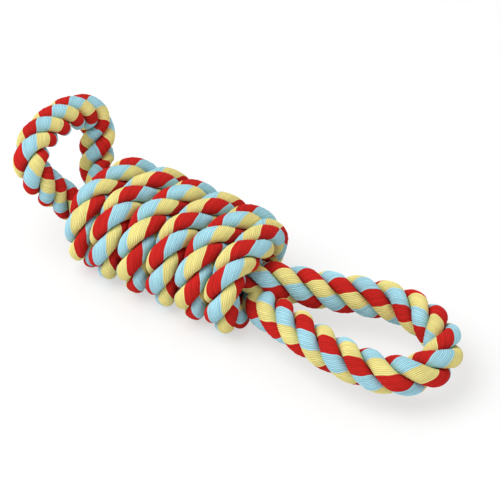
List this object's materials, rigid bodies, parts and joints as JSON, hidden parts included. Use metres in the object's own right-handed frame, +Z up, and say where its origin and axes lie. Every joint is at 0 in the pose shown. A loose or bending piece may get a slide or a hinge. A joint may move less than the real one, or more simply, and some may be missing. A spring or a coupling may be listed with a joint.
{
  "type": "rope dog toy",
  "caption": "Cotton tug toy for dogs: thick laid rope wound into a ribbed coil, with a long flexible loop at one end and a short upright loop at the other.",
  "frame": {"origin": "centre of the winding's flattened underside, on the surface the toy lies on", "axes": "+X along the winding to the long front loop, +Y to the far side, +Z up"},
  "size_m": [0.3078, 0.0866, 0.0928],
  "materials": {
    "red_cotton": "matt spun cotton yarn, dyed red",
    "yellow_cotton": "matt spun cotton yarn, dyed pale yellow",
    "blue_cotton": "matt spun cotton yarn, dyed light blue"
  },
  "bodies": {
    "coil": {"coil_winding": "red_cotton", "core_rope_near": "red_cotton", "core_rope_far": "red_cotton"},
    "front_legs": {"front_loop_leg_near": "yellow_cotton", "front_loop_leg_far": "yellow_cotton"},
    "front_bow": {"front_loop_bow": "yellow_cotton"},
    "rear_loop": {"rear_loop_leg_near": "blue_cotton", "rear_loop_leg_far": "blue_cotton", "rear_loop_bow": "blue_cotton"}
  },
  "joints": [
    {"name": "front_neck_bend", "type": "hinge", "parent": "coil", "child": "front_legs", "pos_m": [0.0696, 0, 0.0265], "axis": [0, -1, 0], "range_deg": [-70, 55]},
    {"name": "front_fold_bend", "type": "hinge", "parent": "front_legs", "child": "front_bow", "pos_m": [0.1196, 0, 0.0265], "axis": [0, -1, 0], "range_deg": [-60, 60]},
    {"name": "rear_neck_bend", "type": "hinge", "parent": "coil", "child": "rear_loop", "pos_m": [-0.0804, 0, 0.029], "axis": [0, 1, 0], "range_deg": [-110, 12]}
  ]
}
